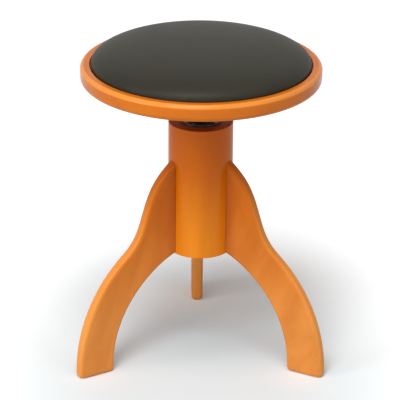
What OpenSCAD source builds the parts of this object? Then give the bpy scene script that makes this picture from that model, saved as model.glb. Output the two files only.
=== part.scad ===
// Revolving piano stool: three curved board legs on a turned column, and a round
// padded seat that winds up and down on a screw spindle.
// Millimetres, +Z up. The floor is z = 0 and the seat turns about the Z axis. The
// rear leg points along +Y, and the seat is drawn wound right down.

/* [Seat board] */
// Diameter of the round seat board
seat_d = 350; // [330:1:380]
// Thickness of the seat board
seat_t = 25.4; // [23:0.1:32]
// Rounding of the board's upper edge
seat_top_round = 6.2; // [3:0.1:9]
// Rounding of the board's lower edge
seat_bottom_round = 8; // [3:0.1:10]
// Width of the wooden rim round the pad
rim_w = 13.8; // [11:0.1:18]
// Depth of the recess that holds the pad
recess_depth = 9.4; // [8.5:0.1:11]

/* [Pad] */
// Gap between the pad and the rim
pad_gap = 0.7; // [0.4:0.1:1.5]
// Thickness of the plywood disc under the foam
pad_board_t = 8; // [6:0.5:10]
// Thickness of the covering
cover_t = 1.2; // [0.8:0.1:2]
// Height of the crown above the rim
crown_h = 33; // [24:0.5:42]
// Height above the rim where the pad is widest
bulge_z = 2.6; // [1.5:0.1:4]
// How far the pad's side draws in below its widest point
side_draw = 1.1; // [0.5:0.1:2]
// Width of the covering turned under the plywood
cover_turn_w = 26; // [18:1:36]
// Number of staples that hold the covering
staple_count = 16; // [12:1:24]
// Width of a staple across its two points
staple_w = 10; // [6:0.5:12]
// Thickness of the staple wire
staple_wire = 0.9; // [0.6:0.1:1.1]
// Length of a staple's points
staple_leg = 6; // [5:0.5:7]

/* [Column] */
// Diameter of the turned column
hub_d = 95.2; // [86:0.2:110]
// Length of the column
hub_l = 201.5; // [190:0.5:230]
// Height of the column's lower end above the floor
hub_z = 167.5; // [150:0.5:180]
// Rounding of the column's upper rim
hub_top_round = 1.6; // [0.5:0.1:3]
// Rounding of the column's lower rim
hub_bottom_round = 1.2; // [0.5:0.1:3]

/* [Legs] */
// Thickness of the leg boards
leg_t = 17.5; // [14:0.5:22]
// Rounding along all edges of a leg
leg_edge_round = 6; // [2:0.1:6.6]
// Height where a leg's outer edge meets the column
leg_top_z = 313.7; // [295:0.1:330]
// Distance from the axis to the outside of a foot
foot_out = 209.4; // [195:0.1:230]
// Distance from the axis to the inside of a foot
foot_in = 151.9; // [138:0.1:162]
// Rounding of a foot's two lower corners, seen from the side
foot_corner_round = 7.2; // [7:0.1:10]
// Diameter of the dowels between a leg and the column
dowel_d = 8; // [6:0.5:9]
// Length of a dowel
dowel_l = 44; // [36:1:48]
// Free depth beyond each end of a dowel
dowel_end_gap = 1; // [0.5:0.5:2]

/* [Spindle and nut] */
// Diameter over the spindle's thread
spindle_d = 26; // [22:0.5:30]
// Rise of the seat in one turn
lead = 5; // [4:0.5:6]
// Number of turns from the lowest seat to the highest
turns = 20; // [16:1:22]
// Chamfer at the spindle's lower end
spindle_chamfer = 1.5; // [0.5:0.5:2.5]
// Diameter of the nut's flange
nut_flange_d = 63; // [58:0.5:80]
// Thickness of the nut's flange
nut_flange_t = 3.2; // [2.5:0.1:5]
// Outer diameter of the nut's sleeve
nut_sleeve_d = 38; // [34:0.5:42]
// Length of the sleeve below the flange
nut_sleeve_l = 45; // [36:1:60]
// Diameter of the stop washer under the spindle
washer_d = 34; // [30:0.5:36]
// Thickness of the stop washer
washer_t = 3; // [2:0.5:4]
// Thread diameter of the stop screw
stop_screw_d = 8; // [6:1:10]
// Length of the stop screw's shank
stop_screw_l = 24; // [20:1:30]
// Free depth beyond the end of the stop screw
stop_screw_end_gap = 1; // [0.5:0.5:2]
// Width across the stop screw's six flats
stop_head_w = 13; // [12:0.5:17]
// Height of the stop screw's head
stop_head_h = 5.3; // [4:0.1:7]

/* [Seat plate] */
// Diameter of the plate under the seat
plate_d = 140; // [126:1:160]
// Thickness of the plate
plate_t = 4; // [3:0.5:6]
// Height of the plate and its boss together
plate_h = 58.8; // [50:0.1:70]
// Outer diameter of the boss
boss_d = 42; // [38:0.5:46]
// Radius of the fillet between boss and plate
boss_fillet = 9; // [6:0.5:12]
// Thickness of the four ribs
rib_t = 5; // [4:0.5:8]
// Height of a rib along the boss
rib_h = 30; // [22:1:38]
// Diameter of the circle of plate screws
plate_screw_circle = 112; // [106:1:116]
// Diameter of the pin through boss and spindle
pin_d = 6; // [4:0.5:8]
// Height of the pin above the boss's lower end
pin_z = 16; // [12:1:24]
// Depth of the pin's ends below the boss's surface
pin_recess = 1; // [0.5:0.5:2]

/* [Wood screws] */
// Shank diameter of the wood screws
screw_d = 4; // [3.5:0.1:4.4]
// Head diameter of the wood screws
screw_head_d = 8; // [7:0.1:9]
// Length of the nut screws
nut_screw_l = 30; // [20:1:40]
// Length of the plate screws
plate_screw_l = 16; // [12:1:17]
// Length of the pad screws
pad_screw_l = 22; // [20:1:24]
// Distance of the pad screws inside the turned-under covering
pad_screw_inset = 18.4; // [8:0.1:28]

/* [Fits] */
// Radial clearance of the spindle in the nut and of screws in their holes
running_fit = 0.05; // [0.03:0.01:0.08]
// Gap left between the boss and the nut, and at the spindle's stop
stop_gap = 0.5; // [0.4:0.1:1]

/* [Hidden] */
$fn = 96;

// Directions of the three legs
left_angle = 210;
right_angle = 330;
rear_angle = 90;

// Heights, worked upwards from the floor
hub_top_z = hub_z + hub_l;
nut_top_z = hub_top_z + nut_flange_t;
nut_bottom_z = hub_top_z - nut_sleeve_l;
boss_z = nut_top_z + stop_gap;
seat_z = boss_z + plate_h;
plate_z = seat_z - plate_t;
rim_z = seat_z + seat_t;
recess_z = rim_z - recess_depth;
pad_board_z = recess_z + cover_t;
foam_z = pad_board_z + pad_board_t;
crown_z = rim_z + crown_h;

// Radii
seat_r = seat_d / 2;
recess_r = seat_r - rim_w;
pad_r = recess_r - pad_gap;
side_r = pad_r - side_draw;
hub_r = hub_d / 2;
spindle_r = spindle_d / 2;
boss_r = boss_d / 2;
plate_r = plate_d / 2;
cover_turn_r = side_r - cover_turn_w;
pad_screw_r = cover_turn_r - pad_screw_inset;
staple_r = side_r - cover_turn_w / 2;
// The nut's screws stand midway between its sleeve and its flange's edge
nut_screw_r = (nut_sleeve_d + nut_flange_d) / 4;

// How far the seat rises, and where the spindle ends so that its washer stops it
travel = lead * turns;
spindle_z = nut_bottom_z - travel - stop_gap;
washer_z = spindle_z - running_fit - washer_t;
stop_head_z = washer_z - running_fit - stop_head_h;

// A small length by which every cut passes the face that it opens
overrun = 1;
// Facets of a quarter turn in the rounded edges
round_steps = 6;
leg_round_steps = 4;
// Facets of one stretch of a leg's outline
curve_steps = 10;

// A leg's side view. The outer edge has three curves, each given by its two ends and
// two handles, as shares of the reach beyond the column and of the leg's height. It
// has as many points as the arch of the inner edge, so each faces one across the leg
shoulder_shares = [[0, 1], [0.195, 0.918], [0.240, 0.860], [0.305, 0.755]];
hollow_shares = [[0.305, 0.755], [0.354, 0.676], [0.384, 0.628], [0.514, 0.571]];
sweep_shares = [[0.514, 0.571], [0.789, 0.451], [1, 0.259]];
// The inner edge's two handles, as shares of the way from column to foot and of hub_z
arch_shares = [[1, 0.572], [0.396, 0.899]];
// How deep the leg's blank runs into the column before it is hollowed to fit, as a
// share of the column's radius, and how its two ends slope there
root_share = 0.19;
root_top_slope_share = 0.82;
root_bottom_slope_share = 0.41;
// Places of the dowels as shares of the glued height
dowel_shares = [0.16, 0.41, 0.66];

// The pad's crown: how high its side stands before it turns in, as a share of the
// crown, and how far out the flat of the top reaches, as a share of the radius
crown_side_share = 0.31;
crown_top_share = 0.66;

// Points of a circle's arc
function arc(centre, r, from, to, n) =
    [for (i = [0:n]) let (a = from + (to - from) * i / n) centre + r * [cos(a), sin(a)]];

// Points of the cubic curve with end points p[0], p[3] and handles p[1], p[2]
function curve(p, n) = [for (i = [0:n]) let (t = i / n, s = 1 - t)
    s * s * s * p[0] + 3 * s * s * t * p[1] + 3 * s * t * t * p[2] + t * t * t * p[3]];

// A list without its first entry, so that two stretches share one point
function rest(list) = [for (i = [1:len(list) - 1]) list[i]];

function unit(v) = v / norm(v);

// A clockwise outline moved inwards by d along its mitred corners
function inset(p, d) = [for (i = [0:len(p) - 1]) let (
    before = unit(p[i] - p[(i + len(p) - 1) % len(p)]),
    after = unit(p[(i + 1) % len(p)] - p[i]),
    mid = unit(before + after),
    out = [-mid[1], mid[0]],
    out_before = [-before[1], before[0]])
    p[i] - out * d / (out * out_before)];

// Legs
leg_reach = foot_out - hub_r;
arch_reach = foot_in - hub_r;
root_depth = hub_r * root_share;
function leg_point(s) = [hub_r + s[0] * leg_reach, s[1] * leg_top_z];
function arch_point(s) = [hub_r + s[0] * arch_reach, s[1] * hub_z];
function leg_curve(shares) = curve([for (s = shares) leg_point(s)], curve_steps);

leg_outline = concat(
    [[hub_r - root_depth, leg_top_z + root_depth * root_top_slope_share]],
    leg_curve(shoulder_shares),
    rest(leg_curve(hollow_shares)),
    rest(curve(concat([for (s = sweep_shares) leg_point(s)],
        [[foot_out, foot_corner_round]]), 2 * curve_steps)),
    rest(arc([foot_out - foot_corner_round, foot_corner_round], foot_corner_round,
        0, -90, round_steps)),
    arc([foot_in + foot_corner_round, foot_corner_round], foot_corner_round,
        -90, -180, round_steps),
    rest(curve([[foot_in, foot_corner_round], arch_point(arch_shares[0]),
        arch_point(arch_shares[1]), [hub_r, hub_z]], 4 * curve_steps)),
    [[hub_r - root_depth, hub_z + root_depth * root_bottom_slope_share]]);

// The rings of a leg's blank: each is the outline, set in and moved sideways, so that
// the edges of the board are rounded
leg_flat = leg_t / 2 - leg_edge_round;
leg_rings = [for (side = [-1, 1]) for (k = [0:leg_round_steps]) let (
    turn = (side < 0 ? leg_round_steps - k : k) * 90 / leg_round_steps)
    [side * (leg_flat + leg_edge_round * sin(turn)), leg_edge_round * (1 - cos(turn))]];

// A flat side of the blank, as a strip of triangles that runs down the leg between the
// points that face each other. a is its first point and n the number of points
function near_side(a, n) = [for (i = [0:n / 2 - 2]) let (
    outer = a + i, inner = a + n - 1 - i)
    each [[outer, outer + 1, inner], [outer + 1, inner - 1, inner]]];
function far_side(a, n) = [for (face = near_side(a, n)) [face[2], face[1], face[0]]];

module leg_blank() {
    n = len(leg_outline);
    last = len(leg_rings) - 1;
    points = [for (ring = leg_rings) for (p = inset(leg_outline, ring[1])) [p[0], ring[0], p[1]]];
    edges = [for (k = [0:last - 1]) for (i = [0:n - 1]) let (
        a = k * n + i, b = k * n + (i + 1) % n) each [[a, b + n, b], [a, a + n, b + n]]];
    polyhedron(points, concat(near_side(0, n), edges, far_side(last * n, n)), convexity = 6);
}

// The dowels of one leg lie along +X before the leg is turned to its place
module at_dowels() {
    for (s = dowel_shares)
        translate([hub_r, 0, hub_z + s * (leg_top_z - hub_z)]) rotate([0, 90, 0]) children();
}

module dowel_set(angle) {
    rotate([0, 0, angle]) at_dowels() cylinder(d = dowel_d, h = dowel_l, center = true);
}

module dowel_holes(angle) {
    rotate([0, 0, angle]) at_dowels()
        cylinder(d = dowel_d + 2 * running_fit, h = dowel_l + 2 * dowel_end_gap, center = true);
}

module leg(angle) {
    color("peru") difference() {
        rotate([0, 0, angle]) leg_blank();
        cylinder(r = hub_r, h = hub_top_z);
        dowel_holes(angle);
    }
}

module dowels(angle) {
    color("wheat") dowel_set(angle);
}

// Column
module hub() {
    bore_r = nut_sleeve_d / 2 + running_fit;
    profile = concat(
        [[bore_r, hub_top_z], [bore_r, hub_z]],
        arc([hub_r - hub_bottom_round, hub_z + hub_bottom_round], hub_bottom_round,
            -90, 0, round_steps),
        arc([hub_r - hub_top_round, hub_top_z - hub_top_round], hub_top_round,
            0, 90, round_steps));
    color("peru") difference() {
        rotate_extrude() polygon(profile);
        for (angle = [left_angle, right_angle, rear_angle]) dowel_holes(angle);
        at_nut_screws() wood_screw(nut_screw_l, running_fit);
    }
}

// A countersunk wood screw that points up from its head's face. Grown by clear, it is
// the hole for one, whose countersink still fits the head
module wood_screw(length, clear = 0) {
    shank_r = screw_d / 2 + clear;
    head_r = screw_head_d / 2;
    rotate_extrude() polygon([[0, 0], [head_r, 0], [shank_r, head_r - shank_r],
        [shank_r, length + clear - shank_r], [0, length + clear]]);
}

// The part of a screw hole that opens out through the face behind the head
module screw_mouth() {
    translate([0, 0, -overrun]) cylinder(d = screw_head_d, h = overrun);
}

module at_nut_screws() {
    for (angle = [left_angle, right_angle, rear_angle]) rotate([0, 0, angle])
        translate([nut_screw_r, 0, nut_top_z]) rotate([180, 0, 0]) children();
}

module at_plate_screws() {
    for (quarter = [0:3]) rotate([0, 0, 90 * quarter])
        translate([plate_screw_circle / 2, 0, plate_z]) children();
}

module at_pad_screws() {
    for (quarter = [0:3]) rotate([0, 0, 90 * quarter + 45])
        translate([pad_screw_r, 0, seat_z]) children();
}

// Nut, flanged on the column's top, with its sleeve down the bore
module spindle_nut() {
    bore_r = spindle_r + running_fit;
    color([0.08, 0.08, 0.09]) difference() {
        rotate_extrude() polygon([[bore_r, nut_bottom_z], [nut_sleeve_d / 2, nut_bottom_z],
            [nut_sleeve_d / 2, hub_top_z], [nut_flange_d / 2, hub_top_z],
            [nut_flange_d / 2, nut_top_z], [bore_r, nut_top_z]]);
        at_nut_screws() {
            wood_screw(nut_screw_l, running_fit);
            screw_mouth();
        }
    }
}

module nut_screws() {
    color("silver") at_nut_screws() wood_screw(nut_screw_l);
}

// Spindle, whose thread is drawn as its outer diameter
module spindle() {
    stop_bore_r = stop_screw_d / 2 + running_fit;
    stop_bore_top = stop_head_z + stop_head_h + stop_screw_l + stop_screw_end_gap;
    color("silver") difference() {
        rotate_extrude() polygon([[0, stop_bore_top], [stop_bore_r, stop_bore_top],
            [stop_bore_r, spindle_z], [spindle_r - spindle_chamfer, spindle_z],
            [spindle_r, spindle_z + spindle_chamfer], [spindle_r, seat_z - running_fit],
            [0, seat_z - running_fit]]);
        pin_bore();
    }
}

module at_pin() {
    translate([0, 0, boss_z + pin_z]) rotate([90, 0, 0]) children();
}

module pin_bore() {
    at_pin() cylinder(d = pin_d + 2 * running_fit, h = boss_d + 2 * overrun, center = true);
}

module spindle_pin() {
    color("silver") at_pin() cylinder(d = pin_d, h = boss_d - 2 * pin_recess, center = true);
}

// The washer rises with the spindle, and stops it under the nut
module stop_washer() {
    color("silver") rotate_extrude()
        polygon([[stop_screw_d / 2 + running_fit, washer_z],
            [washer_d / 2, washer_z], [washer_d / 2, washer_z + washer_t],
            [stop_screw_d / 2 + running_fit, washer_z + washer_t]]);
}

module stop_screw() {
    color("silver") union() {
        translate([0, 0, stop_head_z]) {
            cylinder(d = stop_head_w / cos(30), h = stop_head_h, $fn = 6);
            cylinder(d = stop_screw_d, h = stop_head_h + stop_screw_l);
        }
    }
}

// Seat plate: a cast plate with a boss that holds the spindle
module rib() {
    rib_reach = plate_screw_circle / 2 - screw_head_d;
    rotate([90, 0, 0]) linear_extrude(height = rib_t, center = true)
        polygon([[spindle_r + rib_t / 2, plate_z + plate_t / 2],
            [spindle_r + rib_t / 2, plate_z - rib_h], [boss_r, plate_z - rib_h],
            [rib_reach, plate_z], [rib_reach, plate_z + plate_t / 2]]);
}

module seat_plate() {
    bore_r = spindle_r + running_fit;
    color([0.08, 0.08, 0.09]) difference() {
        union() {
            rotate_extrude() polygon(concat(
                [[bore_r, seat_z], [bore_r, boss_z], [boss_r, boss_z]],
                arc([boss_r + boss_fillet, plate_z - boss_fillet], boss_fillet,
                    180, 90, round_steps),
                [[plate_r, plate_z], [plate_r, seat_z]]));
            for (quarter = [0:3]) rotate([0, 0, 90 * quarter + 45]) rib();
        }
        pin_bore();
        at_plate_screws() {
            wood_screw(plate_screw_l, running_fit);
            screw_mouth();
        }
    }
}

module plate_screws() {
    color("silver") at_plate_screws() wood_screw(plate_screw_l);
}

// Seat board, with its rounded edges and the recess for the pad
module seat_board() {
    profile = concat(
        [[0, recess_z], [0, seat_z]],
        arc([seat_r - seat_bottom_round, seat_z + seat_bottom_round], seat_bottom_round,
            -90, 0, round_steps),
        arc([seat_r - seat_top_round, rim_z - seat_top_round], seat_top_round,
            0, 90, round_steps),
        [[recess_r, rim_z], [recess_r, recess_z]]);
    color("peru") difference() {
        rotate_extrude() polygon(profile);
        at_plate_screws() wood_screw(plate_screw_l, running_fit);
        at_pad_screws() {
            wood_screw(pad_screw_l, running_fit);
            screw_mouth();
        }
    }
}

module pad_screws() {
    color("silver") at_pad_screws() wood_screw(pad_screw_l);
}

// Half section of the pad from the edge of its plywood up to the middle of the crown,
// set in by a thickness
function pad_section(thick) = let (
    wide_z = rim_z + bulge_z,
    rise = (crown_z - wide_z) * crown_side_share,
    top_z = crown_z - thick)
    concat(
        curve([[side_r - thick, foam_z], [side_r - thick, (foam_z + wide_z) / 2],
            [pad_r - thick, (foam_z + wide_z) / 2], [pad_r - thick, wide_z]], round_steps),
        rest(curve([[pad_r - thick, wide_z], [pad_r - thick, wide_z + rise],
            [crown_top_share * pad_r, top_z], [0, top_z]], 2 * curve_steps)));

module pad_board() {
    color("burlywood") difference() {
        translate([0, 0, pad_board_z]) cylinder(r = side_r - cover_t, h = pad_board_t);
        at_pad_screws() wood_screw(pad_screw_l, running_fit);
        staples(overrun);
    }
}

module pad_foam() {
    color("khaki") rotate_extrude() polygon(concat([[0, foam_z]], pad_section(cover_t)));
}

// The covering goes over the foam, down the side and in under the plywood
module pad_cover() {
    inner = pad_section(cover_t);
    inner_back = [for (i = [len(inner) - 1:-1:0]) inner[i]];
    color([0.16, 0.155, 0.14]) difference() {
        rotate_extrude() polygon(concat(
            [[cover_turn_r, recess_z], [side_r, recess_z]],
            pad_section(0),
            inner_back,
            [[side_r - cover_t, pad_board_z], [cover_turn_r, pad_board_z]]));
        staples(overrun);
    }
}

// Staples, pressed in flush with the turned-under covering. As a cut they start lower
// by the mouth, and so open the covering's underside
module staples(mouth = 0) {
    for (i = [0:staple_count - 1]) rotate([0, 0, 360 * i / staple_count])
        translate([staple_r, 0, recess_z - mouth]) staple(mouth);
}

module staple(mouth) {
    points_h = staple_leg + staple_wire + mouth;
    translate([-staple_wire / 2, -staple_w / 2, 0]) {
        cube([staple_wire, staple_w, staple_wire + mouth]);
        cube([staple_wire, staple_wire, points_h]);
        translate([0, staple_w - staple_wire, 0]) cube([staple_wire, staple_wire, points_h]);
    }
}

module pad_staples() {
    color("silver") staples();
}

hub();
leg(left_angle);  // leg_left
leg(right_angle);  // leg_right
leg(rear_angle);  // leg_rear
dowels(left_angle);  // dowels_left
dowels(right_angle);  // dowels_right
dowels(rear_angle);  // dowels_rear
spindle_nut();
nut_screws();
stop_washer();
stop_screw();
spindle();
spindle_pin();
seat_plate();
plate_screws();
seat_board();
pad_screws();
pad_board();
pad_staples();
pad_foam();
pad_cover();
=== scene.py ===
# %% [markdown]
# # A revolving piano stool
# This lesson dresses a stool whose solids were drawn in a CAD program. The packed
# solids come in as a fixed frame, in metres, and every piece made here goes where the
# frame says. The seat winds up and down on a screw, so each piece rides on a body of
# the frame: the base, the seat, or the loose stop washer between them.

import math

import bmesh
import bpy
from mathutils import Matrix, Quaternion, Vector
from mathutils.geometry import interpolate_bezier


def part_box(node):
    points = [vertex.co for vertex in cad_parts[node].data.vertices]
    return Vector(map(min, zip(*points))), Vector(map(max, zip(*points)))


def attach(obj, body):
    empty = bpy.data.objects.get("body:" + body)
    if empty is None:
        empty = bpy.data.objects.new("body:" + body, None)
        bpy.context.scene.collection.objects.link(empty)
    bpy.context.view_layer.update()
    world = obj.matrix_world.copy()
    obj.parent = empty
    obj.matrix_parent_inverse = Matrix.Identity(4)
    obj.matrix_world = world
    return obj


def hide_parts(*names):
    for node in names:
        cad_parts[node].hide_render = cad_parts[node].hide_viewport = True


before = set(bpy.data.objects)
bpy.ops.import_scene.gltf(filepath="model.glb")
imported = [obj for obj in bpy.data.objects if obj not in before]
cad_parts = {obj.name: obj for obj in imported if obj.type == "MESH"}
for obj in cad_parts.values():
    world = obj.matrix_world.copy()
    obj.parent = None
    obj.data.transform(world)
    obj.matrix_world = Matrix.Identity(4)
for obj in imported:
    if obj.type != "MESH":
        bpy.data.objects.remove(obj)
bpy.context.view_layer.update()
MILLIMETRE = 0.001

# %% [markdown]
# ## The camera
# The photograph was taken with a long lens from a little above the seat. The numbers
# come from fitting the seat's rims, the column's ends and the three feet, so the stool
# falls on the same pixels as in the photograph. A small shift keeps the perspective's
# centre where the fit found it.

# %% Camera
IMAGE_WIDTH = 400
FOCAL_PIXELS = 2138.339
CENTRE_OFFSET_PIXELS = 4.03
SENSOR = 36.0
FURTHEST_SEEN = 50
camera_distance = 3.168166
camera_aim = Vector((0.005638, -0.000150, 0.241344))
camera_elevation = math.radians(23.479)
camera_side_turn = math.radians(1.525)
camera_roll = math.radians(0.503)

to_camera = Vector((
    -math.sin(camera_side_turn) * math.cos(camera_elevation),
    -math.cos(camera_side_turn) * math.cos(camera_elevation),
    math.sin(camera_elevation)))
lens = bpy.data.cameras.new("photo_lens")
lens.sensor_width = SENSOR
lens.lens = FOCAL_PIXELS * SENSOR / IMAGE_WIDTH
lens.shift_x = -CENTRE_OFFSET_PIXELS / IMAGE_WIDTH
lens.clip_end = FURTHEST_SEEN
camera = bpy.data.objects.new("photo_camera", lens)
camera.rotation_mode = "QUATERNION"
camera.rotation_quaternion = (
    to_camera.to_track_quat("Z", "Y") @ Quaternion((0, 0, 1), camera_roll))
camera.location = camera_aim + to_camera * camera_distance
bpy.context.collection.objects.link(camera)
bpy.context.scene.camera = camera
print("camera at", [round(v, 3) for v in camera.location], "lens", round(lens.lens, 1), "mm")

# %% [markdown]
# ## Writing shader maths as Python
# Node trees get long when every sum is wired by hand. A small class wraps an output
# socket, so that a sum written in Python adds its Math nodes. Everything else comes
# from one method that takes a node's type, its settings and its inputs. The shader's
# own sockets get plain numbers wherever a value is the same all over.

# %% Sockets that add up
class Wire:
    """The output of a shader node, which can stand in a Python sum."""

    def __init__(self, finish, socket):
        self.finish = finish
        self.socket = socket

    def math(self, operation, *values):
        return self.finish.node(
            "ShaderNodeMath", {"operation": operation}, dict(enumerate(values)))

    def __add__(self, other):
        return self.math("ADD", self, other)

    def __sub__(self, other):
        return self.math("SUBTRACT", self, other)

    def __rsub__(self, other):
        return self.math("SUBTRACT", other, self)

    def __mul__(self, other):
        return self.math("MULTIPLY", self, other)

    def __abs__(self):
        return self.math("ABSOLUTE", self)

    __radd__ = __add__
    __rmul__ = __mul__


# %% Finishes
MIX_FIRST_COLOUR, MIX_SECOND_COLOUR, MIX_COLOUR = 6, 7, 2


class Finish:
    """One material, with the few calls that build its nodes."""

    def __init__(self, name, **shader_values):
        self.material = bpy.data.materials.new(name)
        self.material.use_nodes = True
        self.tree = self.material.node_tree
        self.shader = self.tree.nodes["Principled BSDF"]
        for socket, value in shader_values.items():
            self.feed(socket.replace("_", " "), value)
        self.place = self.node("ShaderNodeTexCoord", output="Object")

    def plug(self, socket, value):
        if isinstance(value, Wire):
            self.tree.links.new(value.socket, socket)
        else:
            socket.default_value = value

    def feed(self, socket, value):
        self.plug(self.shader.inputs[socket], value)

    def node(self, kind, settings=None, inputs=None, output=0):
        made = self.tree.nodes.new(kind)
        for name, value in (settings or {}).items():
            setattr(made, name, value)
        for name, value in (inputs or {}).items():
            self.plug(made.inputs[name], value)
        return Wire(self, made.outputs[output])

    def mapped(self, turn=(0, 0, 0), scale=(1, 1, 1), centre=(0, 0, 0)):
        """Object coordinates about a centre, turned and then stretched."""
        centred = self.node("ShaderNodeVectorMath", {"operation": "SUBTRACT"},
                            {0: self.place, 1: centre})
        turned_place = self.node("ShaderNodeMapping", {}, {"Vector": centred, "Rotation": turn})
        return self.node("ShaderNodeVectorMath", {"operation": "MULTIPLY"},
                         {0: turned_place, 1: scale})

    def along(self, axis, place=None):
        """One coordinate of a place: X, Y or Z."""
        return self.node("ShaderNodeSeparateXYZ", {}, {"Vector": place or self.place}, axis)

    def length(self, place):
        return self.node("ShaderNodeVectorMath", {"operation": "LENGTH"}, {0: place}, "Value")

    def off_axis(self):
        """How far a place lies from the stool's axis."""
        return self.length(self.mapped(scale=(1, 1, 0)))

    def noise(self, where, scale, detail=3.0, roughness=0.5, distortion=0.0):
        return self.node("ShaderNodeTexNoise", {}, {
            "Vector": where, "Scale": scale, "Detail": detail, "Roughness": roughness,
            "Distortion": distortion}, "Fac")

    def ramp(self, value, low, high):
        """0 below low, 1 above high and a smooth rise between them."""
        return self.node("ShaderNodeMapRange", {"interpolation_type": "SMOOTHSTEP"},
                         {"Value": value, "From Min": low, "From Max": high})

    def mix(self, factor, first, second):
        made = self.tree.nodes.new("ShaderNodeMix")
        made.data_type = "RGBA"
        self.plug(made.inputs["Factor"], factor)
        self.plug(made.inputs[MIX_FIRST_COLOUR], first)
        self.plug(made.inputs[MIX_SECOND_COLOUR], second)
        return Wire(self, made.outputs[MIX_COLOUR])

    def bump(self, height, depth):
        self.feed("Normal", self.node("ShaderNodeBump", {}, {
            "Height": height, "Distance": depth, "Strength": 1.0}, "Normal"))


def srgb(red, green, blue):
    """A colour written as it shows on the screen, 0 to 255, made linear."""
    def linear(value):
        share = value / 255
        return share / 12.92 if share <= 0.04045 else ((share + 0.055) / 1.055) ** 2.4
    return (linear(red), linear(green), linear(blue), 1.0)


# %% [markdown]
# ## Stained beech
# The stool is beech under a honey orange stain and a clear satin lacquer. Beech has
# faint bands along the board, fine lines between them, and the short dark flecks that
# give the wood away up close. All of it follows the grain, so each piece says which
# way its grain runs. On the column and the legs the colour is painted darker high up,
# where the seat shades them, and paler low down, as painted shade and light. A paler
# colour on rounded edges is a painted highlight, and the legs are painted darker next
# to the column as painted shade. End grain is darker where it soaked up more stain. The
# lacquer is the shader's coat, glossier on the seat than on the rest. Since there is no
# air between lacquer and wood, the layer under the coat gets no gloss of its own.

# %% Colours of the stain, of painted shade, light and highlight, and pattern of the grain
# Column and legs: the low colour is painted light, the high one painted shade from the seat.
# The seat's two colours are its plain stain.
COLUMN_STAIN_AND_SHADE = (0.18, srgb(250, 147, 28)), (0.33, srgb(212, 104, 4))
LEG_STAIN_AND_SHADE = (0.05, srgb(236, 150, 70)), (0.27, srgb(213, 111, 17))
SEAT_STAIN = (0.43, srgb(213, 112, 5)), (0.46, srgb(213, 112, 5))
# A paler colour for painted highlights on rounded edges.
BEECH_PAINTED_HIGHLIGHT = srgb(255, 166, 78)
BEECH_DEEP = srgb(168, 68, 2)
# Dark flecks of the grain; the same colour also paints the shade on the legs next to the
# column.
BEECH_FLECK_AND_SHADE = srgb(150, 62, 8)
BEECH_END = srgb(168, 76, 30)
COLUMN_GLOSS, LEG_GLOSS, SEAT_GLOSS = 0.55, 0.45, 0.8
LACQUER_IOR, LACQUER_ROUGHNESS = 1.3, 0.16

# Each pattern is a squeeze along the grain, which draws it out, and its noise
BANDS = 0.12, {"scale": 26, "detail": 2.0, "roughness": 0.45, "distortion": 0.6}
LINES = 0.03, {"scale": 420, "detail": 2.0, "roughness": 0.6}
FLECKS = 0.16, {"scale": 1500, "detail": 1.0, "roughness": 0.5}
FLECK_RANGE, TONE_RANGE = (0.63, 0.72), (0.30, 0.70)
BAND_SHARE, LINE_SHARE = 0.80, 0.20
# The last two shares mix in the painted highlight and the painted shade next to the column; the
# reach below is how far that shade spreads.
DEEP_SHARE, FLECK_SHARE, HIGHLIGHT_SHARE, JOINT_SHADE_SHARE = 0.26, 0.20, 0.50, 0.40
JOINT_SHADE_REACH = 22 * MILLIMETRE
END_EDGE = 0.4 * MILLIMETRE
WOOD_ROUGHNESS, LINE_ROUGHNESS = 0.36, 0.10
PORE_DEPTH = 0.03 * MILLIMETRE
LINE_HEIGHT, FLECK_SUNK = 0.6, 0.5
# The column's painted light and shade change between these two heights.
print("the column's stain runs from", COLUMN_STAIN_AND_SHADE[0][0], "to", COLUMN_STAIN_AND_SHADE[1][0], "m up")


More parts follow.
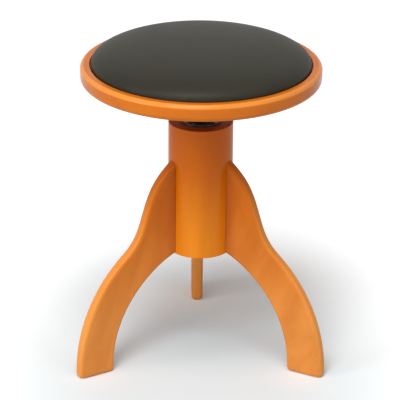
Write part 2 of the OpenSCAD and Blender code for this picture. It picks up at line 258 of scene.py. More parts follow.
# %% Stained beech
def stained_beech(name, stain, gloss, turn=(0, 0, 0), centre=(0, 0, 0), ends=None,
                  painted_highlight=None, joint=None):
    """stain gives a low and a high level with a colour at each. On the column and the legs
    the colour low down is painted light and the one high up painted shade from the seat;
    on the seat both are its stain. turn brings the grain's direction onto Z. ends gives
    the two heights beyond which a post shows its end grain. The edge function passed in
    gives 1 where a paler colour paints a highlight on rounded edges, and joint is the
    distance from the axis of the joint with another piece, near which shade is painted."""
    wood = Finish(name, Specular_IOR_Level=0.0, Coat_Weight=gloss, Coat_IOR=LACQUER_IOR,
                  Coat_Roughness=LACQUER_ROUGHNESS)

    def grain(squeeze, pattern):
        return wood.noise(wood.mapped(turn, (1, 1, squeeze), centre), **pattern)

    bands, lines = grain(*BANDS), grain(*LINES)
    flecks = wood.ramp(grain(*FLECKS), *FLECK_RANGE)
    tone = wood.ramp(bands * BAND_SHARE + lines * LINE_SHARE, *TONE_RANGE)
    height = wood.along("Z")
    # Painted light low down and painted shade high up, on the column and the legs.
    (low, colour_low_down), (high, colour_high_up) = stain
    colour = wood.mix(wood.ramp(height, low, high), colour_low_down, colour_high_up)
    colour = wood.mix(tone * DEEP_SHARE, colour, BEECH_DEEP)
    colour = wood.mix(flecks * FLECK_SHARE, colour, BEECH_FLECK_AND_SHADE)
    # A painted highlight on the rounded edges.
    if painted_highlight:
        colour = wood.mix(painted_highlight(wood) * HIGHLIGHT_SHARE, colour, BEECH_PAINTED_HIGHLIGHT)
    # Painted shade on a leg next to the column.
    if joint:
        joint_shade = 1 - wood.ramp(wood.off_axis(), joint, joint + JOINT_SHADE_REACH)
        colour = wood.mix(joint_shade * JOINT_SHADE_SHARE, colour, BEECH_FLECK_AND_SHADE)
    if ends:
        cut = (wood.ramp(height, ends[1] - END_EDGE, ends[1])
               + wood.ramp(ends[0] - height, -END_EDGE, 0))
        colour = wood.mix(cut, colour, BEECH_END)
    wood.feed("Base Color", colour)
    wood.feed("Roughness", WOOD_ROUGHNESS + LINE_ROUGHNESS * lines)
    wood.bump(lines * LINE_HEIGHT - flecks * FLECK_SUNK, PORE_DEPTH)
    return wood.material


# %% [markdown]
# ## The other finishes
# The pad is a smooth black leatherette with a fine pebbled grain. The nut and the seat
# plate are cast iron under gloss black. Spindle, pin and screws are bright steel with
# fine turning lines. Dowels and plywood are hidden, and still get what they are.

# %% Leatherette, black iron, steel and bare wood
def leatherette():
    skin = Finish("leatherette", Specular_IOR_Level=0.2)
    pebbles = skin.node("ShaderNodeTexVoronoi", {"feature": "SMOOTH_F1"}, {
        "Vector": skin.mapped(), "Scale": 620, "Smoothness": 0.6}, "Distance")
    creases = skin.noise(skin.mapped(), scale=210, roughness=0.6)
    wear = skin.ramp(skin.noise(skin.mapped(), scale=11), 0.35, 0.70)
    skin.feed("Base Color", skin.mix(wear, srgb(33, 31, 20), srgb(39, 37, 25)))
    skin.feed("Roughness", 0.47 + 0.06 * wear + 0.05 * pebbles)
    skin.bump(creases * 0.5 - pebbles * 0.5, depth=0.10 * MILLIMETRE)
    return skin.material


def black_iron():
    iron = Finish("black_iron", Coat_Weight=0.5, Coat_Roughness=0.08)
    cast = iron.noise(iron.mapped(), scale=160, detail=4.0, roughness=0.6)
    iron.feed("Base Color", iron.mix(cast, srgb(16, 16, 17), srgb(26, 25, 25)))
    iron.feed("Roughness", 0.22 + 0.10 * cast)
    iron.bump(cast, depth=0.12 * MILLIMETRE)
    return iron.material


def turned_steel(name, colour, roughness):
    steel = Finish(name, Metallic=1.0)
    lines = steel.noise(steel.mapped(scale=(0.04, 0.04, 1)), scale=2600, detail=2.0,
                        roughness=0.6)
    stain = steel.noise(steel.mapped(), scale=90)
    steel.feed("Base Color", steel.mix(stain, colour, srgb(150, 146, 140)))
    steel.feed("Roughness", roughness + 0.10 * stain)
    steel.bump(lines, depth=0.03 * MILLIMETRE)
    return steel.material


def bare_wood(name, light, dark):
    wood = Finish(name)
    lines = wood.noise(wood.mapped(scale=(0.08, 1, 1)), scale=300, roughness=0.6)
    wood.feed("Base Color", wood.mix(lines, light, dark))
    wood.feed("Roughness", 0.65 + 0.15 * lines)
    wood.bump(lines, depth=0.10 * MILLIMETRE)
    return wood.material


finish_leatherette = leatherette()
finish_iron = black_iron()
finish_steel = turned_steel("turned_steel", srgb(196, 196, 198), roughness=0.26)
finish_screw = turned_steel("zinc_screws", srgb(188, 186, 178), roughness=0.34)
finish_dowel = bare_wood("dowel_beech", srgb(214, 180, 132), srgb(186, 146, 98))
finish_plywood = bare_wood("plywood", srgb(212, 178, 128), srgb(168, 128, 82))
made_finishes = (finish_leatherette, finish_iron, finish_steel, finish_screw, finish_dowel,
                 finish_plywood)
print("finishes made:", ", ".join(material.name for material in made_finishes))

# %% [markdown]
# ## Helpers for turned pieces
# Most of the stool is turned on a lathe, so one helper draws half a section and spins
# it. The spin leaves doubled points on the axis, which are merged, and it can turn a
# shape inside out, so its normals are worked out again. A ring of edges is rounded by
# bevelling just the edges that lie at one radius and height.

# %% Turned pieces
MERGE = 0.001 * MILLIMETRE
ON_RING = 0.02 * MILLIMETRE


def rounded(mesh, edges, rounding, segments, clamp=True):
    """Rounds edges. The clamp stops two roundings before they meet."""
    bmesh.ops.bevel(mesh, geom=edges, offset=rounding, offset_type="OFFSET",
                    affect="EDGES", segments=segments, profile=0.5, material=-1,
                    clamp_overlap=clamp)


def corner_edges(mesh, radius, height):
    """The ring of edges at one radius and height."""
    def on_ring(point):
        flat = math.hypot(point.co.x, point.co.y)
        return abs(flat - radius) < ON_RING and abs(point.co.z - height) < ON_RING
    return [e for e in mesh.edges if all(on_ring(v) for v in e.verts)]


def turned(section, rounds=(), steps=192):
    """A bmesh spun from a closed half section of (radius, height) points. rounds lists
    the corners to round, as (radius, height, rounding, segments)."""
    mesh = bmesh.new()
    points = [mesh.verts.new((radius, 0, height)) for radius, height in section]
    for first, second in zip(points, points[1:] + points[:1]):
        mesh.edges.new((first, second))
    bmesh.ops.spin(mesh, geom=mesh.verts[:] + mesh.edges[:], cent=(0, 0, 0),
                   axis=(0, 0, 1), dvec=(0, 0, 0), angle=2 * math.pi, steps=steps,
                   use_merge=True, use_duplicate=False)
    bmesh.ops.remove_doubles(mesh, verts=mesh.verts[:], dist=MERGE)
    axis_edges = [e for e in mesh.edges if not e.link_faces]
    bmesh.ops.delete(mesh, geom=axis_edges, context="EDGES")
    bmesh.ops.recalc_face_normals(mesh, faces=mesh.faces[:])
    for radius, height, rounding, segments in rounds:
        rounded(mesh, corner_edges(mesh, radius, height), rounding, segments)
    return mesh


# %% From a bmesh to a piece on its body
SHARP_TURN = math.radians(35)
FLAT_FACES_RULE = 100


def as_object(mesh, name, material=None):
    """Makes a bmesh an object that stands at the origin."""
    data = bpy.data.meshes.new(name)
    mesh.to_mesh(data)
    mesh.free()
    if material:
        data.materials.append(material)
    made = bpy.data.objects.new(name, data)
    bpy.context.collection.objects.link(made)
    return made


def sharpened(mesh):
    """Keeps the shading smooth over every edge but those that turn sharply."""
    for edge in mesh.edges:
        edge.smooth = len(edge.link_faces) == 2 and edge.calc_face_angle(0) < SHARP_TURN


def finished(mesh, name, material, body, replaced=()):
    """Makes a bmesh a piece, smooth but for its sharp edges, and sets it on a body."""
    for face in mesh.faces:
        face.smooth = True
    sharpened(mesh)
    piece = as_object(mesh, name, material)
    if replaced:
        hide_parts(*replaced)
    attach(piece, body)
    print(name, "has", len(piece.data.polygons), "faces")
    return piece


def flat_shading_kept(piece):
    """Lets the large flat faces rule the normals, so that no shade creeps over them."""
    weighting = piece.modifiers.new("flat faces first", "WEIGHTED_NORMAL")
    weighting.keep_sharp = True
    weighting.weight = FLAT_FACES_RULE


# %% [markdown]
# ## Sizes
# The sizes below are the frame's own, written once in metres. Where a piece replaces a
# node, its reach is read from the node's box.

# %% Sizes read from the frame
def top_of(node):
    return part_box(node)[1][2]


def bottom_of(node):
    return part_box(node)[0][2]


seat_bottom, seat_rim = bottom_of("seat_board"), top_of("seat_board")
seat_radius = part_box("seat_board")[1][0]
rim_width = 13.8 * MILLIMETRE
recess_floor = bottom_of("pad_cover")
recess_radius = seat_radius - rim_width
hub_bottom, hub_top = bottom_of("hub"), top_of("hub")
hub_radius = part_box("hub")[1][1]
hub_bore = 19.05 * MILLIMETRE
nut_bottom, nut_top = bottom_of("spindle_nut"), top_of("spindle_nut")
boss_bottom = bottom_of("seat_plate")
spindle_bottom, spindle_top = bottom_of("spindle"), top_of("spindle")
spindle_radius = 13 * MILLIMETRE
spindle_play = 0.05 * MILLIMETRE
leg_angles = {"left": 210, "right": 330, "rear": 90}
print("seat", round(seat_bottom, 4), "to", round(seat_rim, 4), "radius", round(seat_radius, 4))
print("column", round(hub_bottom, 4), "to", round(hub_top, 4), "radius", round(hub_radius, 4))

# %% [markdown]
# ## Cutting one piece with another
# A screw's countersink in a board, or a leg's end hollowed to fit a round column, is
# a cut. The Boolean modifier does it best, and it is applied at once so that what is
# left is a plain mesh. A cut across a large flat face can leave slivers there that
# shade like cracks. So the legs' flat sides are split into triangles before the cut,
# and joined and split afresh after it.

# %% Boolean cuts
NEARLY_FLAT = math.radians(0.1)


def apply_modifiers(piece):
    """Makes the mesh what its modifiers show, and takes the modifiers off."""
    seen = piece.evaluated_get(bpy.context.evaluated_depsgraph_get())
    data = bpy.data.meshes.new_from_object(seen)
    old = piece.data
    piece.modifiers.clear()
    piece.data = data
    data.name = piece.name
    bpy.data.meshes.remove(old)


def cut_from(piece, cutter_mesh):
    """Takes a bmesh away from a piece."""
    cutter = as_object(cutter_mesh, "cutter")
    cut = piece.modifiers.new("cut", "BOOLEAN")
    cut.operation, cut.solver, cut.object = "DIFFERENCE", "MANIFOLD", cutter
    apply_modifiers(piece)
    data = cutter.data
    bpy.data.objects.remove(cutter)
    bpy.data.meshes.remove(data)


def large_faces_split(mesh):
    """Splits each face of more than four corners into triangles."""
    bmesh.ops.triangulate(mesh, faces=[f for f in mesh.faces if len(f.verts) > 4])


def slivers_joined(piece):
    """Joins the slivers that a cut left in flat faces, and splits those faces afresh."""
    mesh = bmesh.new()
    mesh.from_mesh(piece.data)
    bmesh.ops.remove_doubles(mesh, verts=mesh.verts[:], dist=MERGE)
    bmesh.ops.dissolve_limit(mesh, angle_limit=NEARLY_FLAT, verts=mesh.verts[:],
                             edges=mesh.edges[:], delimit={"SHARP"})
    large_faces_split(mesh)
    sharpened(mesh)
    mesh.to_mesh(piece.data)
    mesh.free()


# %% Joining and moving
def joined(meshes):
    """One bmesh that holds all the given ones."""
    whole = bmesh.new()
    for mesh in meshes:
        data = bpy.data.meshes.new("part")
        mesh.to_mesh(data)
        mesh.free()
        whole.from_mesh(data)
        bpy.data.meshes.remove(data)
    return whole


def moved(mesh, matrix):
    bmesh.ops.transform(mesh, matrix=matrix, verts=mesh.verts[:])
    return mesh


# %% [markdown]
# ## The column
# The column is one turned post, bored through for the spindle. Its grain runs up and
# down, and its ends show end grain. Both rims are eased with sandpaper only.

# %% Column
column_foot_rounding = 1.2 * MILLIMETRE
column_head_rounding = 1.6 * MILLIMETRE
bore_rounding = 0.5 * MILLIMETRE
column = finished(
    turned([(hub_bore, hub_top), (hub_bore, hub_bottom),
            (hub_radius, hub_bottom), (hub_radius, hub_top)],
           [(hub_radius, hub_bottom, column_foot_rounding, 4),
            (hub_radius, hub_top, column_head_rounding, 5),
            (hub_bore, hub_bottom, bore_rounding, 2)]),
    "column",
    stained_beech("beech_column", COLUMN_STAIN_AND_SHADE, COLUMN_GLOSS, ends=(hub_bottom, hub_top)),
    "base", ["hub"])
flat_shading_kept(column)

# %% [markdown]
# ## The legs
# A leg is sawn from a board along a curved outline and its edges are rounded all
# round. The outline is drawn with the curves a designer would use: three along the
# outer edge, one along the arch. The board is then pushed out to its thickness, its
# edges are bevelled, and its upper end is hollowed to sit on the round column.

# %% Leg outline
leg_thickness = 17.5 * MILLIMETRE
leg_edge_rounding = 6 * MILLIMETRE
leg_top = 313.7 * MILLIMETRE
foot_outside, foot_inside = 209.4 * MILLIMETRE, 151.9 * MILLIMETRE
foot_corner = 7.2 * MILLIMETRE
root_depth = 9 * MILLIMETRE
ROOT_TOP_SHARE, ROOT_BOTTOM_SHARE = 0.82, 0.41
OUTER_SHARES = [
    [(0, 1), (0.195, 0.918), (0.240, 0.860), (0.305, 0.755)],
    [(0.305, 0.755), (0.354, 0.676), (0.384, 0.628), (0.514, 0.571)]]
SWEEP_SHARES = [(0.514, 0.571), (0.789, 0.451), (1, 0.259)]
ARCH_SHARES = [(1, 0.572), (0.396, 0.899)]
OUTER_STEPS, SWEEP_STEPS, ARCH_STEPS, CORNER_STEPS = 24, 40, 48, 8


def swept(points, steps):
    """Points along a cubic curve, given as end, handle, handle, end."""
    return interpolate_bezier(*[Vector((x, 0, z)) for x, z in points], steps)


def corner_arc(x, z, start, end):
    """Points round a corner of the foot, about a centre and between two angles."""
    turn = (end - start) / CORNER_STEPS
    return [Vector((x + foot_corner * math.cos(start + turn * i), 0,
                    z + foot_corner * math.sin(start + turn * i)))
            for i in range(CORNER_STEPS + 1)]


def outer_point(shares):
    return (hub_radius + shares[0] * (foot_outside - hub_radius), shares[1] * leg_top)


def arch_point(shares):
    return (hub_radius + shares[0] * (foot_inside - hub_radius), shares[1] * hub_bottom)


def leg_outline():
    """The outline from the root's top, down the outer edge and back up the arch."""
    root = hub_radius - root_depth
    outline = [Vector((root, 0, leg_top + ROOT_TOP_SHARE * root_depth))]
    for shares in OUTER_SHARES:
        outline += swept([outer_point(s) for s in shares], OUTER_STEPS)[:-1]
    outline += swept([outer_point(s) for s in SWEEP_SHARES] + [(foot_outside, foot_corner)],
                     SWEEP_STEPS)
    outline += corner_arc(foot_outside - foot_corner, foot_corner, 0, -math.pi / 2)[1:]
    outline += corner_arc(foot_inside + foot_corner, foot_corner, -math.pi / 2, -math.pi)
    outline += swept([(foot_inside, foot_corner), *[arch_point(s) for s in ARCH_SHARES],
                      (hub_radius, hub_bottom)], ARCH_STEPS)[1:]
    outline.append(Vector((root, 0, hub_bottom + ROOT_BOTTOM_SHARE * root_depth)))
    return [(point.x, point.z) for point in outline]


# %% Boards
def board(outline, thickness):
    """A board from (x, z) points, half its thickness to each side of them."""
    mesh = bmesh.new()
    side = mesh.faces.new([mesh.verts.new((x, -thickness / 2, z)) for x, z in outline])
    pushed = bmesh.ops.extrude_face_region(mesh, geom=[side])
    far_side = [g for g in pushed["geom"] if isinstance(g, bmesh.types.BMVert)]
    bmesh.ops.translate(mesh, verts=far_side, vec=(0, thickness, 0))
    bmesh.ops.recalc_face_normals(mesh, faces=mesh.faces[:])
    return mesh


def bounds_a_side(edge):
    """Whether an edge of a board runs along one of its two sides, not across it."""
    return abs(edge.verts[0].co.y - edge.verts[1].co.y) < MERGE


def turned_to(mesh, angle):
    return moved(mesh, Matrix.Rotation(math.radians(angle), 4, "Z"))


def leg_board(angle):
    mesh = board(leg_outline(), leg_thickness)
    rounded(mesh, [e for e in mesh.edges if bounds_a_side(e)], leg_edge_rounding,
            segments=6, clamp=False)
    large_faces_split(mesh)
    return turned_to(mesh, angle)


# %% Legs
GRAIN_LEAN = math.radians(24)
GRAIN_SHIFT = 0.02
# Where a leg's painted highlight lies across its edge, and how it fades out higher up in the
# seat's shade.
HIGHLIGHT_FROM_SIDE = 3 * MILLIMETRE, 0.2 * MILLIMETRE
HIGHLIGHT_UP_TO = 0.20, 0.31
HIGHLIGHT_LESS_ABOVE = 0.9
cutter_overrun = 20 * MILLIMETRE


def leg_edge_highlight(angle):
    """Where a highlight is painted on a leg: on its rounded edges, not its sides, and low down
    below the seat's shade.
    """
    def painted_highlight(wood):
        across = abs(wood.along("Y", wood.mapped((0, 0, math.radians(-angle)))))
        depths = [leg_thickness / 2 - inwards for inwards in HIGHLIGHT_FROM_SIDE]
        beside = wood.ramp(across, *depths)
        above = wood.ramp(wood.along("Z"), *HIGHLIGHT_UP_TO)
        return (1 - beside) * (1 - HIGHLIGHT_LESS_ABOVE * above)
    return painted_highlight


def leg_piece(side):
    angle = leg_angles[side]
    wood = stained_beech(f"beech_leg_{side}", LEG_STAIN_AND_SHADE, LEG_GLOSS,
                         (0, -GRAIN_LEAN, math.radians(-angle)),
                         (0, 0, GRAIN_SHIFT * angle),
                         painted_highlight=leg_edge_highlight(angle), joint=hub_radius)
    piece = finished(leg_board(angle), f"leg_board_{side}", wood, "base",
                     [f"leg_{side}"])
    below = hub_bottom - cutter_overrun
    cut_from(piece, turned([(0, below), (hub_radius, below),
                            (hub_radius, hub_top), (0, hub_top)]))
    slivers_joined(piece)
    flat_shading_kept(piece)


for side in leg_angles:
    leg_piece(side)

# %% [markdown]
# ## The seat board
# The seat board is turned too: rounded edges above and below, and a recess that the
# pad drops into. Four countersunk screws come up through it into the pad's plywood, so
# its underside gets their countersinks.

# %% Places round the axis, and countersinks
screw_head, screw_shank = 4 * MILLIMETRE, 2 * MILLIMETRE
screw_cone = screw_head - screw_shank
countersink_play = 0.25 * MILLIMETRE


def ring_of_places(count, first, radius, height):
    """Places evenly round the axis, the first at an angle in degrees."""
    for i in range(count):
        angle = math.radians(first + 360 * i / count)
        yield Matrix.Translation((radius * math.cos(angle), radius * math.sin(angle), height))


def pointing(up):
    """Leaves a screw pointing up, or turns it over."""
    return Matrix.Identity(4) if up else Matrix.Rotation(math.pi, 4, "X")


def countersinks(places, up=True):
    """Cutters for the countersinks of screws that point up, or down."""
    mouth = screw_head + countersink_play
    section = [(0, -MILLIMETRE), (mouth, -MILLIMETRE), (mouth, 0),
               (screw_shank + countersink_play, screw_cone), (0, screw_cone)]
    return joined([moved(turned(section, steps=32), place @ pointing(up))
                   for place in places])


# %% Seat board
pad_screw_radius = 115 * MILLIMETRE
seat_bottom_rounding, seat_top_rounding = 8 * MILLIMETRE, 6.2 * MILLIMETRE
recess_rounding = 0.8 * MILLIMETRE
SEAT_GRAIN_CENTRE = (0, 0.04, 0.2)
# Where the seat's painted highlight lies on its upper rounding.
HIGHLIGHT_BELOW_RIM = 6.5 * MILLIMETRE, 4 * MILLIMETRE
HIGHLIGHT_INSIDE_EDGE = seat_top_rounding, 4 * MILLIMETRE


def seat_edge_highlight(wood):
    """Where a highlight is painted on the seat: on its upper rounding."""
    heights = [seat_rim - down for down in HIGHLIGHT_BELOW_RIM]
    radii = [seat_radius - inwards for inwards in HIGHLIGHT_INSIDE_EDGE]
    return wood.ramp(wood.along("Z"), *heights) * wood.ramp(wood.off_axis(), *radii)


seat_ring = finished(
    turned([(0, recess_floor), (0, seat_bottom), (seat_radius, seat_bottom),
            (seat_radius, seat_rim), (recess_radius, seat_rim), (recess_radius, recess_floor)],
           [(seat_radius, seat_bottom, seat_bottom_rounding, 10),
            (seat_radius, seat_rim, seat_top_rounding, 10),
            (recess_radius, seat_rim, recess_rounding, 3)], steps=288),
    "seat_ring",
    stained_beech("beech_seat", SEAT_STAIN, SEAT_GLOSS, (0, math.pi / 2, 0),
                  SEAT_GRAIN_CENTRE, painted_highlight=seat_edge_highlight),
    "seat", ["seat_board"])
cut_from(seat_ring, countersinks(ring_of_places(4, 45, pad_screw_radius, seat_bottom)))
flat_shading_kept(seat_ring)

# %% [markdown]
# ## The pad
# The pad is a plywood disc with a slab of foam and a leatherette cover stretched over
# it, so it stands up in a smooth crown and draws in at the side where the rim holds
# it. A spun curve alone looks too hard for that. So the crown starts as a spun form a
# little too high, which is remeshed evenly. Then it is simulated as a cloth that shrinks
# by a few hundredths over air that presses from inside, as the real cover is pulled
# over its foam. A cap on the movement lets it draw in by a millimetre or so and no
# more, which keeps the photographed outline.

# %% Pad form
pad_radius = recess_radius - 0.7 * MILLIMETRE
pad_side = pad_radius - 1.1 * MILLIMETRE
pad_top = top_of("pad_cover") - 0.7 * MILLIMETRE
pad_widest = seat_rim + 2.6 * MILLIMETRE
pad_edge = top_of("pad_board")
pad_draw = 1.2 * MILLIMETRE
CROWN_SIDE_SHARE, CROWN_TOP_SHARE = 0.45, 0.72
SIDE_STEPS, CROWN_STEPS = 6, 40


def pad_section(lift):
    """Half section of the pad, from the axis under it round to the axis on top."""
    crown_rise = (pad_top - pad_widest) * CROWN_SIDE_SHARE
    side, wide, top = pad_side, pad_radius, pad_top + lift
    middle = (pad_edge + pad_widest) / 2
    draw = swept([(side, pad_edge), (side, middle), (wide, middle), (wide, pad_widest)],
                 SIDE_STEPS)
    crown = swept([(wide, pad_widest), (wide, pad_widest + crown_rise + lift / 2),
                   (CROWN_TOP_SHARE * pad_radius, top), (0, top)], CROWN_STEPS)
    flat = [(0, recess_floor), (side, recess_floor)]
    return flat + [(p.x, p.z) for p in draw] + [(p.x, p.z) for p in crown[1:]]


# %% Cloth
AIR_PRESSURE = 4.0
CLOTH_SHRINKS = 0.03
CLOTH_STIFFNESS = 30
CLOTH_QUALITY = 6
LAST_FRAME = 20
VOXEL = 4.5 * MILLIMETRE
held_above_edge = 2 * MILLIMETRE


def drawn_tight(piece, held_below, cap):
    """Pulls a closed skin tight as cloth over air, and moves no point past the cap."""
    rest = [v.co.copy() for v in piece.data.vertices]
    held = piece.vertex_groups.new(name="held")
    held.add([i for i, p in enumerate(rest) if p.z < held_below], 1.0, "REPLACE")
    cloth = piece.modifiers.new("cloth", "CLOTH").settings
    cloth.vertex_group_mass = "held"
    cloth.use_pressure = True
    cloth.uniform_pressure_force = AIR_PRESSURE
    cloth.shrink_min = CLOTH_SHRINKS
    cloth.tension_stiffness = cloth.compression_stiffness = CLOTH_STIFFNESS
    cloth.effector_weights.gravity = 0
    cloth.quality = CLOTH_QUALITY
    for frame_number in range(1, LAST_FRAME + 1):
        bpy.context.scene.frame_set(frame_number)
    apply_modifiers(piece)
    bpy.context.scene.frame_set(1)
    for vertex, start in zip(piece.data.vertices, rest):
        step = vertex.co - start
        if step.length > cap:
            vertex.co = start + step * (cap / step.length)


def keep_inside_rim(piece):
    """Beside the rim the pad stays clear of the wood, and its underside lies flat."""
    for vertex in piece.data.vertices:
        point = vertex.co
        flat = math.hypot(point.x, point.y)
        if point.z < seat_rim + MILLIMETRE and flat > pad_radius:
            point.x *= pad_radius / flat
            point.y *= pad_radius / flat
        point.z = max(point.z, recess_floor)


# %% Pad
def pad_piece():
    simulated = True
    lift = pad_draw if simulated else 0
    piece = finished(turned(pad_section(lift), steps=160), "pad",
                     finish_leatherette, "seat", ["pad_cover", "pad_foam"])
    if simulated:
        even = piece.modifiers.new("even", "REMESH")
        even.mode, even.voxel_size, even.use_smooth_shade = "VOXEL", VOXEL, True
        apply_modifiers(piece)
        drawn_tight(piece, pad_edge + held_above_edge, pad_draw)
        keep_inside_rim(piece)
        smooth = piece.modifiers.new("smooth", "SUBSURF")
        smooth.levels = smooth.render_levels = 1
        apply_modifiers(piece)
    for face in piece.data.polygons:
        face.use_smooth = True
    return piece


pad = pad_piece()
pad_reach = [round(max(v.co[axis] for v in pad.data.vertices), 4) for axis in range(3)]
print("pad reaches", pad_reach, "and the frame's cover", round(top_of("pad_cover"), 4))

# %% [markdown]
# ## The nut
# The nut is a cast sleeve with a flange that three screws hold on top of the column.
# Only the flange shows, as a thin black disc that mirrors the boss above it.

# %% Nut
nut_bore = spindle_radius + spindle_play
nut_flange, nut_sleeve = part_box("spindle_nut")[1][0], 19 * MILLIMETRE
nut_screw_radius = (nut_flange + nut_sleeve) / 2
flange_rounding = 1.1 * MILLIMETRE
nut = finished(
    turned([(nut_bore, nut_bottom), (nut_sleeve, nut_bottom), (nut_sleeve, hub_top),
            (nut_flange, hub_top), (nut_flange, nut_top), (nut_bore, nut_top)],
           [(nut_flange, nut_top, flange_rounding, 4),
            (nut_bore, nut_top, bore_rounding, 2)]),
    "nut", finish_iron, "base", ["spindle_nut"])
cut_from(nut, countersinks(ring_of_places(3, 90, nut_screw_radius, nut_top), up=False))
flat_shading_kept(nut)

# %% [markdown]
# ## The seat plate
# A cast plate spreads the load under the seat. Its boss takes the spindle, a fillet
# runs the boss into the plate, and four ribs stiffen it. Plate and boss are turned as
# one, and each rib is a small board that ends inside them.

# %% Seat plate and its ribs
plate_radius, plate_thickness = 70 * MILLIMETRE, 4 * MILLIMETRE
boss_radius, boss_fillet = 21 * MILLIMETRE, 9 * MILLIMETRE
rib_thickness, rib_height, rib_reach = 5 * MILLIMETRE, 30 * MILLIMETRE, 48 * MILLIMETRE
plate_screw_radius = 56 * MILLIMETRE
plate_under = seat_bottom - plate_thickness
boss_bore = spindle_radius + spindle_play
rib_root = spindle_radius + rib_thickness / 2
plate_rounding = 1.2 * MILLIMETRE
FILLET_STEPS = 8


def fillet_points():
    """The hollow between boss and plate, from the boss outwards."""
    for i in range(1, FILLET_STEPS + 1):
        angle = math.pi - math.pi / 2 * i / FILLET_STEPS
        yield (boss_radius + boss_fillet + boss_fillet * math.cos(angle),
               plate_under - boss_fillet + boss_fillet * math.sin(angle))


def plate_body():
    section = [(boss_bore, seat_bottom), (boss_bore, boss_bottom), (boss_radius, boss_bottom),
               (boss_radius, plate_under - boss_fillet), *fillet_points(),
               (plate_radius, plate_under), (plate_radius, seat_bottom)]
    return turned(section, [(boss_radius, boss_bottom, plate_rounding, 4),
                            (plate_radius, plate_under, plate_rounding, 4)])


def rib(angle):
    inside_plate, foot = plate_under + plate_thickness / 2, plate_under - rib_height
    mesh = board([(rib_root, inside_plate), (rib_root, foot), (boss_radius, foot),
                  (rib_reach, plate_under), (rib_reach, inside_plate)], rib_thickness)

    def on_slope(point):
        return (point.co.x > boss_radius - MERGE
                and foot - MERGE < point.co.z < plate_under + MERGE)

    slope = [e for e in mesh.edges if bounds_a_side(e) and all(on_slope(v) for v in e.verts)]
    rounded(mesh, slope, plate_rounding, segments=3)
    return turned_to(mesh, angle)


plate = finished(plate_body(), "plate", finish_iron, "seat", ["seat_plate"])
cut_from(plate, countersinks(ring_of_places(4, 0, plate_screw_radius, plate_under)))
ribs = finished(joined([rib(45 + 90 * i) for i in range(4)]), "plate_ribs", finish_iron,
                "seat")
flat_shading_kept(plate)
flat_shading_kept(ribs)

# %% [markdown]
# ## The spindle
# The spindle's thread is a trapezoidal one that rises 5 mm in a turn. One tooth's
# profile, spun with a rise, sweeps out the whole thread, and each turn's upper end
# meets the start of the turn above. It is right handed, so the seat rises when it is
# turned anticlockwise seen from above.

# %% Threaded spindle
thread_pitch, thread_depth = 5 * MILLIMETRE, 2.5 * MILLIMETRE
thread_flank, thread_crest = 0.7 * MILLIMETRE, 1.8 * MILLIMETRE
thread_start = spindle_bottom + 4 * MILLIMETRE
thread_merge = 0.01 * MILLIMETRE
spindle_chamfer = 1.5 * MILLIMETRE
core_overlap, core_shoulder = 0.2 * MILLIMETRE, 0.4 * MILLIMETRE
THREAD_TURNS, THREAD_STEPS, RUN_OUT_TURNS = 28, 48, 0.6


def thread_skin():
    """The thread alone, open at both ends."""
    root, crest = spindle_radius - thread_depth, spindle_radius
    tooth = [(root, 0), (crest, thread_flank), (crest, thread_flank + thread_crest),
             (root, 2 * thread_flank + thread_crest), (root, thread_pitch)]
    mesh = bmesh.new()
    points = [mesh.verts.new((radius, 0, thread_start + z)) for radius, z in tooth]
    for first, second in zip(points, points[1:]):
        mesh.edges.new((first, second))
    bmesh.ops.spin(mesh, geom=mesh.verts[:] + mesh.edges[:], cent=(0, 0, 0),
                   axis=(0, 0, 1), dvec=(0, 0, thread_pitch / THREAD_STEPS),
                   angle=2 * math.pi * THREAD_TURNS, steps=THREAD_STEPS * THREAD_TURNS,
                   use_merge=False, use_duplicate=False)
    bmesh.ops.remove_doubles(mesh, verts=mesh.verts[:], dist=thread_merge)
    return mesh


def spindle_core():
    """A bar inside the thread, with its chamfered foot and its plain upper end."""
    root = spindle_radius - thread_depth + core_overlap
    thread_end = thread_start + thread_pitch * (THREAD_TURNS + RUN_OUT_TURNS)
    return turned([(0, spindle_bottom), (spindle_radius - spindle_chamfer, spindle_bottom),
                   (spindle_radius, spindle_bottom + spindle_chamfer),
                   (spindle_radius, thread_start), (root, thread_start + core_shoulder),
                   (root, thread_end), (spindle_radius, thread_end + thread_depth),
                   (spindle_radius, spindle_top), (0, spindle_top)], steps=64)


finished(joined([thread_skin(), spindle_core()]), "spindle_thread", finish_steel, "seat",
         ["spindle"])

# %% [markdown]
# ## Screws
# Wood screws with a cross recess hold the nut, the plate and the pad. One screw is
# made and cut once for each length, and copies of it are set in every place.

# %% Cross-head wood screws
RECESS_MOUTH, RECESS_FOOT = (4.6, 1.1, -0.5), (2.0, 0.7, 1.7)
SCREW_TURN = 0.7
nut_screw_length = 30 * MILLIMETRE
plate_screw_length = 16 * MILLIMETRE
pad_screw_length = 22 * MILLIMETRE


def cross_recess():
    """Two tapered blades that cross, as the cutters for a driver's recess."""
    for angle in (0, math.pi / 2):
        mesh = bmesh.new()
        bmesh.ops.create_cube(mesh, size=1.0)
        for vertex in mesh.verts:
            length, width, depth = RECESS_FOOT if vertex.co.z > 0 else RECESS_MOUTH
            vertex.co.x *= length * MILLIMETRE
            vertex.co.y *= width * MILLIMETRE
            vertex.co.z = depth * MILLIMETRE
        yield moved(mesh, Matrix.Rotation(angle, 4, "Z"))


def screw_mesh(length):
    """A screw that points up from its head's face at height 0."""
    piece = finished(
        turned([(0, 0), (screw_head, 0), (screw_shank, screw_cone),
                (screw_shank, length - screw_shank), (0, length)], steps=32),
        "screw", finish_screw, "base")
    for blade in cross_recess():
        cut_from(piece, blade)
    data = piece.data
    bpy.data.objects.remove(piece)
    return data


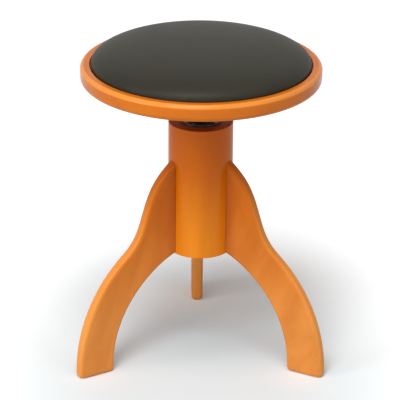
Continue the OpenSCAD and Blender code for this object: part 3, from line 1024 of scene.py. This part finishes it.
def screws(name, node, body, length, places, up=True):
    """One screw in every place, each turned a little further than the one before."""
    data = screw_mesh(length)
    copies = []
    for number, place in enumerate(places):
        one = bmesh.new()
        one.from_mesh(data)
        turn = Matrix.Rotation(SCREW_TURN * number, 4, "Z")
        copies.append(moved(one, place @ pointing(up) @ turn))
    return finished(joined(copies), name, finish_screw, body, [node])


screws("nut_wood_screws", "nut_screws", "base", nut_screw_length,
       ring_of_places(3, 90, nut_screw_radius, nut_top), up=False)
screws("plate_wood_screws", "plate_screws", "seat", plate_screw_length,
       ring_of_places(4, 0, plate_screw_radius, plate_under))
screws("pad_wood_screws", "pad_screws", "seat", pad_screw_length,
       ring_of_places(4, 45, pad_screw_radius, seat_bottom))

# %% [markdown]
# ## The pieces that stay as they are
# Dowels, plywood, staples, pin, washer and stop screw have the right shape already.
# They keep their own meshes, which must not change, and only take their finish.

# %% Finishes for the frame's own nodes
KEPT = {
    "dowels_left": finish_dowel, "dowels_right": finish_dowel, "dowels_rear": finish_dowel,
    "pad_board": finish_plywood, "pad_staples": finish_screw, "spindle_pin": finish_steel,
    "stop_washer": finish_steel, "stop_screw": finish_screw}
for name, material in KEPT.items():
    for material_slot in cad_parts[name].material_slots:
        material_slot.material = material
print("kept from the frame:", ", ".join(KEPT))

# %% [markdown]
# ## Floor, background and light
# The photograph is a studio shot on white. The floor is a plain diffuse sheet that
# keeps the stool's shadow. It is a little blue, which cancels the orange light the stool
# throws on it. It also glows, for the camera and in reflections only, so that it lights
# nothing else. The glow rises from nothing under the stool to white around it, which
# paints the shadow pool under the stool deeper and wider than the lamps make it: a
# painted shadow. It rises again far out, where the lamps fall off. The background is
# white in the same way. Four round lamps light the stool. The one high in front makes
# the soft shadow, the ones in front and on the left shape the column and the rim, and a
# weak one on the right keeps that side from going dark.

# %% Floor
FLOOR_REACH = 9
SHADE_MIDDLE = (-0.01, -0.18, 0)
SHADE_STRETCH = (1.17, 0.74, 1)
SHADE_REACH = (0.10, 0.66)
FAR_REACH = (1.0, 4.0)
GLOW_NEAR, GLOW_FAR = 0.66, 0.40
# The paper is a little blue, which cancels the orange light the stool throws on it.
PAPER_WHITE = (0.79, 0.86, 0.885, 1)
GLOW_WHITE = (1, 0.94, 0.92, 1)
NO_GLOW = (0, 0, 0, 1)


def paper_with_painted_shadow():
    """Paper that the camera and reflections see glow, away from the stool's shade, so that the
    missing glow there paints a shadow pool.
    """
    paper = Finish("paper_with_painted_shadow", Roughness=1.0, Specular_IOR_Level=0.0)
    seen = (paper.node("ShaderNodeLightPath", output="Is Camera Ray")
            + paper.node("ShaderNodeLightPath", output="Is Glossy Ray"))
    away = paper.length(paper.mapped(centre=SHADE_MIDDLE, scale=SHADE_STRETCH))
    # No glow under the stool and glow around it: this paints the shadow pool deeper and wider.
    glow = (paper.ramp(away, *SHADE_REACH) * GLOW_NEAR
            + paper.ramp(away, *FAR_REACH) * GLOW_FAR)
    paper.feed("Base Color", PAPER_WHITE)
    paper.feed("Emission Strength", 1.0)
    paper.feed("Emission Color", paper.mix(seen * glow, NO_GLOW, GLOW_WHITE))
    return paper.material


floor_mesh = bmesh.new()
bmesh.ops.create_grid(floor_mesh, x_segments=2, y_segments=2, size=FLOOR_REACH)
floor = as_object(floor_mesh, "floor", paper_with_painted_shadow())
print("floor reaches", FLOOR_REACH, "m each way")

# %% Background
FILL = 0.17


def studio_world():
    """White to the camera and in reflections, and a faint fill light elsewhere."""
    world = bpy.data.worlds.new("studio")
    world.use_nodes = True
    bpy.context.scene.world = world
    tree = world.node_tree
    background = tree.nodes["Background"]
    background.inputs["Color"].default_value = (1, 1, 1, 1)
    path = tree.nodes.new("ShaderNodeLightPath")
    strength = None
    for ray in ("Is Camera Ray", "Is Transmission Ray", "Is Glossy Ray"):
        step = tree.nodes.new("ShaderNodeMath")
        step.operation = "MULTIPLY_ADD"
        tree.links.new(path.outputs[ray], step.inputs[0])
        step.inputs[1].default_value = 1 - FILL
        step.inputs[2].default_value = FILL
        if strength:
            tree.links.new(strength, step.inputs[2])
        strength = step.outputs[0]
    tree.links.new(strength, background.inputs["Strength"])


studio_world()
print("fill light from the background:", FILL)

# %% Lamps
LAMP_AIM = Vector((0, 0, 0.2))
LAMP_DISTANCE = 3.6


def lamp(name, turn, height, size, power):
    """A round lamp set by its turn from the camera's side and its height, in degrees."""
    data = bpy.data.lights.new(name, "AREA")
    data.shape, data.size, data.energy = "DISK", size, power
    made = bpy.data.objects.new(name, data)
    turn, height = math.radians(turn), math.radians(height)
    towards = Vector((math.sin(turn) * math.cos(height), -math.cos(turn) * math.cos(height),
                      math.sin(height)))
    made.location = LAMP_AIM + towards * LAMP_DISTANCE
    made.rotation_mode = "QUATERNION"
    made.rotation_quaternion = towards.to_track_quat("Z", "Y")
    bpy.context.collection.objects.link(made)
    print(name, "lamp of", power, "W")


lamp("high_front", turn=-10, height=68, size=1.6, power=62)
lamp("front", turn=-22, height=43, size=1.7, power=44)
lamp("left", turn=-62, height=26, size=1.8, power=30)
lamp("front_right", turn=45, height=32, size=1.8, power=11)
view_settings = bpy.context.scene.view_settings
view_settings.view_transform = "Standard"
